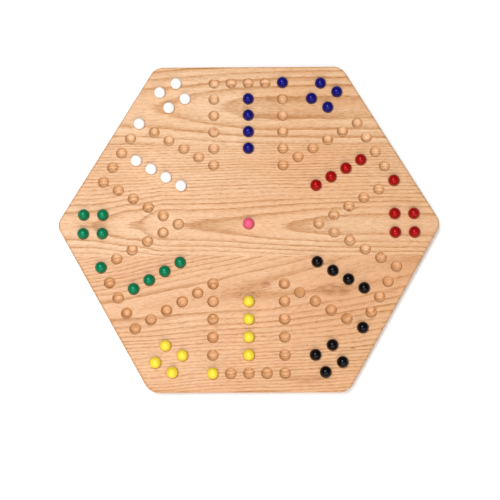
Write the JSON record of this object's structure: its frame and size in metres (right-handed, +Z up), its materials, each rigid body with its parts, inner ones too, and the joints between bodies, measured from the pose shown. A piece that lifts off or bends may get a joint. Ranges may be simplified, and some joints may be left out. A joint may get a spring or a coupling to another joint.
{
  "type": "marble race board game",
  "caption": "Hexagonal wooden six-player marble race board with round dimples for a track, home rows and corner bases, and glossy glass marbles resting in them.",
  "frame": {"origin": "centre of the board's flat underside", "axes": "+Z up out of the playing face, +X to the right towards a corner of the hexagon, +Y to the back, away from the player at the front"},
  "size_m": [0.502, 0.4398, 0.0287],
  "materials": {
    "wood_back": "clear satin varnish on red oak",
    "wood_middle": "clear satin varnish on red oak",
    "wood_front": "clear satin varnish on red oak",
    "glass_blue": "opaque glossy glass",
    "glass_red": "opaque glossy glass",
    "glass_black": "opaque glossy glass",
    "glass_yellow": "opaque glossy glass",
    "glass_green": "opaque glossy glass",
    "glass_white": "opaque glossy glass",
    "glass_pink": "opaque glossy glass"
  },
  "bodies": {
    "board": {"stave_back": "wood_back", "stave_middle": "wood_middle", "stave_front": "wood_front"},
    "marble_blue_start": {"marble_blue_start": "glass_blue"},
    "marble_blue_home_1": {"marble_blue_home_1": "glass_blue"},
    "marble_blue_home_2": {"marble_blue_home_2": "glass_blue"},
    "marble_blue_home_3": {"marble_blue_home_3": "glass_blue"},
    "marble_blue_home_4": {"marble_blue_home_4": "glass_blue"},
    "marble_blue_base_1": {"marble_blue_base_1": "glass_blue"},
    "marble_blue_base_2": {"marble_blue_base_2": "glass_blue"},
    "marble_blue_base_3": {"marble_blue_base_3": "glass_blue"},
    "marble_blue_base_4": {"marble_blue_base_4": "glass_blue"},
    "marble_red_start": {"marble_red_start": "glass_red"},
    "marble_red_home_1": {"marble_red_home_1": "glass_red"},
    "marble_red_home_2": {"marble_red_home_2": "glass_red"},
    "marble_red_home_3": {"marble_red_home_3": "glass_red"},
    "marble_red_home_4": {"marble_red_home_4": "glass_red"},
    "marble_red_base_1": {"marble_red_base_1": "glass_red"},
    "marble_red_base_2": {"marble_red_base_2": "glass_red"},
    "marble_red_base_3": {"marble_red_base_3": "glass_red"},
    "marble_red_base_4": {"marble_red_base_4": "glass_red"},
    "marble_black_start": {"marble_black_start": "glass_black"},
    "marble_black_home_1": {"marble_black_home_1": "glass_black"},
    "marble_black_home_2": {"marble_black_home_2": "glass_black"},
    "marble_black_home_3": {"marble_black_home_3": "glass_black"},
    "marble_black_home_4": {"marble_black_home_4": "glass_black"},
    "marble_black_base_1": {"marble_black_base_1": "glass_black"},
    "marble_black_base_2": {"marble_black_base_2": "glass_black"},
    "marble_black_base_3": {"marble_black_base_3": "glass_black"},
    "marble_black_base_4": {"marble_black_base_4": "glass_black"},
    "marble_yellow_start": {"marble_yellow_start": "glass_yellow"},
    "marble_yellow_home_1": {"marble_yellow_home_1": "glass_yellow"},
    "marble_yellow_home_2": {"marble_yellow_home_2": "glass_yellow"},
    "marble_yellow_home_3": {"marble_yellow_home_3": "glass_yellow"},
    "marble_yellow_home_4": {"marble_yellow_home_4": "glass_yellow"},
    "marble_yellow_base_1": {"marble_yellow_base_1": "glass_yellow"},
    "marble_yellow_base_2": {"marble_yellow_base_2": "glass_yellow"},
    "marble_yellow_base_3": {"marble_yellow_base_3": "glass_yellow"},
    "marble_yellow_base_4": {"marble_yellow_base_4": "glass_yellow"},
    "marble_green_start": {"marble_green_start": "glass_green"},
    "marble_green_home_1": {"marble_green_home_1": "glass_green"},
    "marble_green_home_2": {"marble_green_home_2": "glass_green"},
    "marble_green_home_3": {"marble_green_home_3": "glass_green"},
    "marble_green_home_4": {"marble_green_home_4": "glass_green"},
    "marble_green_base_1": {"marble_green_base_1": "glass_green"},
    "marble_green_base_2": {"marble_green_base_2": "glass_green"},
    "marble_green_base_3": {"marble_green_base_3": "glass_green"},
    "marble_green_base_4": {"marble_green_base_4": "glass_green"},
    "marble_white_start": {"marble_white_start": "glass_white"},
    "marble_white_home_1": {"marble_white_home_1": "glass_white"},
    "marble_white_home_2": {"marble_white_home_2": "glass_white"},
    "marble_white_home_3": {"marble_white_home_3": "glass_white"},
    "marble_white_home_4": {"marble_white_home_4": "glass_white"},
    "marble_white_base_1": {"marble_white_base_1": "glass_white"},
    "marble_white_base_2": {"marble_white_base_2": "glass_white"},
    "marble_white_base_3": {"marble_white_base_3": "glass_white"},
    "marble_white_base_4": {"marble_white_base_4": "glass_white"},
    "marble_pink_center": {"marble_pink_center": "glass_pink"}
  },
  "joints": [
    {"name": "marble_blue_start_lift", "type": "slide", "parent": "board", "child": "marble_blue_start", "axis": [0, 0, 1], "range_m": [0, 0.03]},
    {"name": "marble_blue_home_1_lift", "type": "slide", "parent": "board", "child": "marble_blue_home_1", "axis": [0, 0, 1], "range_m": [0, 0.03]},
    {"name": "marble_blue_home_2_lift", "type": "slide", "parent": "board", "child": "marble_blue_home_2", "axis": [0, 0, 1], "range_m": [0, 0.03]},
    {"name": "marble_blue_home_3_lift", "type": "slide", "parent": "board", "child": "marble_blue_home_3", "axis": [0, 0, 1], "range_m": [0, 0.03]},
    {"name": "marble_blue_home_4_lift", "type": "slide", "parent": "board", "child": "marble_blue_home_4", "axis": [0, 0, 1], "range_m": [0, 0.03]},
    {"name": "marble_blue_base_1_lift", "type": "slide", "parent": "board", "child": "marble_blue_base_1", "axis": [0, 0, 1], "range_m": [0, 0.03]},
    {"name": "marble_blue_base_2_lift", "type": "slide", "parent": "board", "child": "marble_blue_base_2", "axis": [0, 0, 1], "range_m": [0, 0.03]},
    {"name": "marble_blue_base_3_lift", "type": "slide", "parent": "board", "child": "marble_blue_base_3", "axis": [0, 0, 1], "range_m": [0, 0.03]},
    {"name": "marble_blue_base_4_lift", "type": "slide", "parent": "board", "child": "marble_blue_base_4", "axis": [0, 0, 1], "range_m": [0, 0.03]},
    {"name": "marble_red_start_lift", "type": "slide", "parent": "board", "child": "marble_red_start", "axis": [0, 0, 1], "range_m": [0, 0.03]},
    {"name": "marble_red_home_1_lift", "type": "slide", "parent": "board", "child": "marble_red_home_1", "axis": [0, 0, 1], "range_m": [0, 0.03]},
    {"name": "marble_red_home_2_lift", "type": "slide", "parent": "board", "child": "marble_red_home_2", "axis": [0, 0, 1], "range_m": [0, 0.03]},
    {"name": "marble_red_home_3_lift", "type": "slide", "parent": "board", "child": "marble_red_home_3", "axis": [0, 0, 1], "range_m": [0, 0.03]},
    {"name": "marble_red_home_4_lift", "type": "slide", "parent": "board", "child": "marble_red_home_4", "axis": [0, 0, 1], "range_m": [0, 0.03]},
    {"name": "marble_red_base_1_lift", "type": "slide", "parent": "board", "child": "marble_red_base_1", "axis": [0, 0, 1], "range_m": [0, 0.03]},
    {"name": "marble_red_base_2_lift", "type": "slide", "parent": "board", "child": "marble_red_base_2", "axis": [0, 0, 1], "range_m": [0, 0.03]},
    {"name": "marble_red_base_3_lift", "type": "slide", "parent": "board", "child": "marble_red_base_3", "axis": [0, 0, 1], "range_m": [0, 0.03]},
    {"name": "marble_red_base_4_lift", "type": "slide", "parent": "board", "child": "marble_red_base_4", "axis": [0, 0, 1], "range_m": [0, 0.03]},
    {"name": "marble_black_start_lift", "type": "slide", "parent": "board", "child": "marble_black_start", "axis": [0, 0, 1], "range_m": [0, 0.03]},
    {"name": "marble_black_home_1_lift", "type": "slide", "parent": "board", "child": "marble_black_home_1", "axis": [0, 0, 1], "range_m": [0, 0.03]},
    {"name": "marble_black_home_2_lift", "type": "slide", "parent": "board", "child": "marble_black_home_2", "axis": [0, 0, 1], "range_m": [0, 0.03]},
    {"name": "marble_black_home_3_lift", "type": "slide", "parent": "board", "child": "marble_black_home_3", "axis": [0, 0, 1], "range_m": [0, 0.03]},
    {"name": "marble_black_home_4_lift", "type": "slide", "parent": "board", "child": "marble_black_home_4", "axis": [0, 0, 1], "range_m": [0, 0.03]},
    {"name": "marble_black_base_1_lift", "type": "slide", "parent": "board", "child": "marble_black_base_1", "axis": [0, 0, 1], "range_m": [0, 0.03]},
    {"name": "marble_black_base_2_lift", "type": "slide", "parent": "board", "child": "marble_black_base_2", "axis": [0, 0, 1], "range_m": [0, 0.03]},
    {"name": "marble_black_base_3_lift", "type": "slide", "parent": "board", "child": "marble_black_base_3", "axis": [0, 0, 1], "range_m": [0, 0.03]},
    {"name": "marble_black_base_4_lift", "type": "slide", "parent": "board", "child": "marble_black_base_4", "axis": [0, 0, 1], "range_m": [0, 0.03]},
    {"name": "marble_yellow_start_lift", "type": "slide", "parent": "board", "child": "marble_yellow_start", "axis": [0, 0, 1], "range_m": [0, 0.03]},
    {"name": "marble_yellow_home_1_lift", "type": "slide", "parent": "board", "child": "marble_yellow_home_1", "axis": [0, 0, 1], "range_m": [0, 0.03]},
    {"name": "marble_yellow_home_2_lift", "type": "slide", "parent": "board", "child": "marble_yellow_home_2", "axis": [0, 0, 1], "range_m": [0, 0.03]},
    {"name": "marble_yellow_home_3_lift", "type": "slide", "parent": "board", "child": "marble_yellow_home_3", "axis": [0, 0, 1], "range_m": [0, 0.03]},
    {"name": "marble_yellow_home_4_lift", "type": "slide", "parent": "board", "child": "marble_yellow_home_4", "axis": [0, 0, 1], "range_m": [0, 0.03]},
    {"name": "marble_yellow_base_1_lift", "type": "slide", "parent": "board", "child": "marble_yellow_base_1", "axis": [0, 0, 1], "range_m": [0, 0.03]},
    {"name": "marble_yellow_base_2_lift", "type": "slide", "parent": "board", "child": "marble_yellow_base_2", "axis": [0, 0, 1], "range_m": [0, 0.03]},
    {"name": "marble_yellow_base_3_lift", "type": "slide", "parent": "board", "child": "marble_yellow_base_3", "axis": [0, 0, 1], "range_m": [0, 0.03]},
    {"name": "marble_yellow_base_4_lift", "type": "slide", "parent": "board", "child": "marble_yellow_base_4", "axis": [0, 0, 1], "range_m": [0, 0.03]},
    {"name": "marble_green_start_lift", "type": "slide", "parent": "board", "child": "marble_green_start", "axis": [0, 0, 1], "range_m": [0, 0.03]},
    {"name": "marble_green_home_1_lift", "type": "slide", "parent": "board", "child": "marble_green_home_1", "axis": [0, 0, 1], "range_m": [0, 0.03]},
    {"name": "marble_green_home_2_lift", "type": "slide", "parent": "board", "child": "marble_green_home_2", "axis": [0, 0, 1], "range_m": [0, 0.03]},
    {"name": "marble_green_home_3_lift", "type": "slide", "parent": "board", "child": "marble_green_home_3", "axis": [0, 0, 1], "range_m": [0, 0.03]},
    {"name": "marble_green_home_4_lift", "type": "slide", "parent": "board", "child": "marble_green_home_4", "axis": [0, 0, 1], "range_m": [0, 0.03]},
    {"name": "marble_green_base_1_lift", "type": "slide", "parent": "board", "child": "marble_green_base_1", "axis": [0, 0, 1], "range_m": [0, 0.03]},
    {"name": "marble_green_base_2_lift", "type": "slide", "parent": "board", "child": "marble_green_base_2", "axis": [0, 0, 1], "range_m": [0, 0.03]},
    {"name": "marble_green_base_3_lift", "type": "slide", "parent": "board", "child": "marble_green_base_3", "axis": [0, 0, 1], "range_m": [0, 0.03]},
    {"name": "marble_green_base_4_lift", "type": "slide", "parent": "board", "child": "marble_green_base_4", "axis": [0, 0, 1], "range_m": [0, 0.03]},
    {"name": "marble_white_start_lift", "type": "slide", "parent": "board", "child": "marble_white_start", "axis": [0, 0, 1], "range_m": [0, 0.03]},
    {"name": "marble_white_home_1_lift", "type": "slide", "parent": "board", "child": "marble_white_home_1", "axis": [0, 0, 1], "range_m": [0, 0.03]},
    {"name": "marble_white_home_2_lift", "type": "slide", "parent": "board", "child": "marble_white_home_2", "axis": [0, 0, 1], "range_m": [0, 0.03]},
    {"name": "marble_white_home_3_lift", "type": "slide", "parent": "board", "child": "marble_white_home_3", "axis": [0, 0, 1], "range_m": [0, 0.03]},
    {"name": "marble_white_home_4_lift", "type": "slide", "parent": "board", "child": "marble_white_home_4", "axis": [0, 0, 1], "range_m": [0, 0.03]},
    {"name": "marble_white_base_1_lift", "type": "slide", "parent": "board", "child": "marble_white_base_1", "axis": [0, 0, 1], "range_m": [0, 0.03]},
    {"name": "marble_white_base_2_lift", "type": "slide", "parent": "board", "child": "marble_white_base_2", "axis": [0, 0, 1], "range_m": [0, 0.03]},
    {"name": "marble_white_base_3_lift", "type": "slide", "parent": "board", "child": "marble_white_base_3", "axis": [0, 0, 1], "range_m": [0, 0.03]},
    {"name": "marble_white_base_4_lift", "type": "slide", "parent": "board", "child": "marble_white_base_4", "axis": [0, 0, 1], "range_m": [0, 0.03]},
    {"name": "marble_pink_center_lift", "type": "slide", "parent": "board", "child": "marble_pink_center", "axis": [0, 0, 1], "range_m": [0, 0.03]}
  ]
}
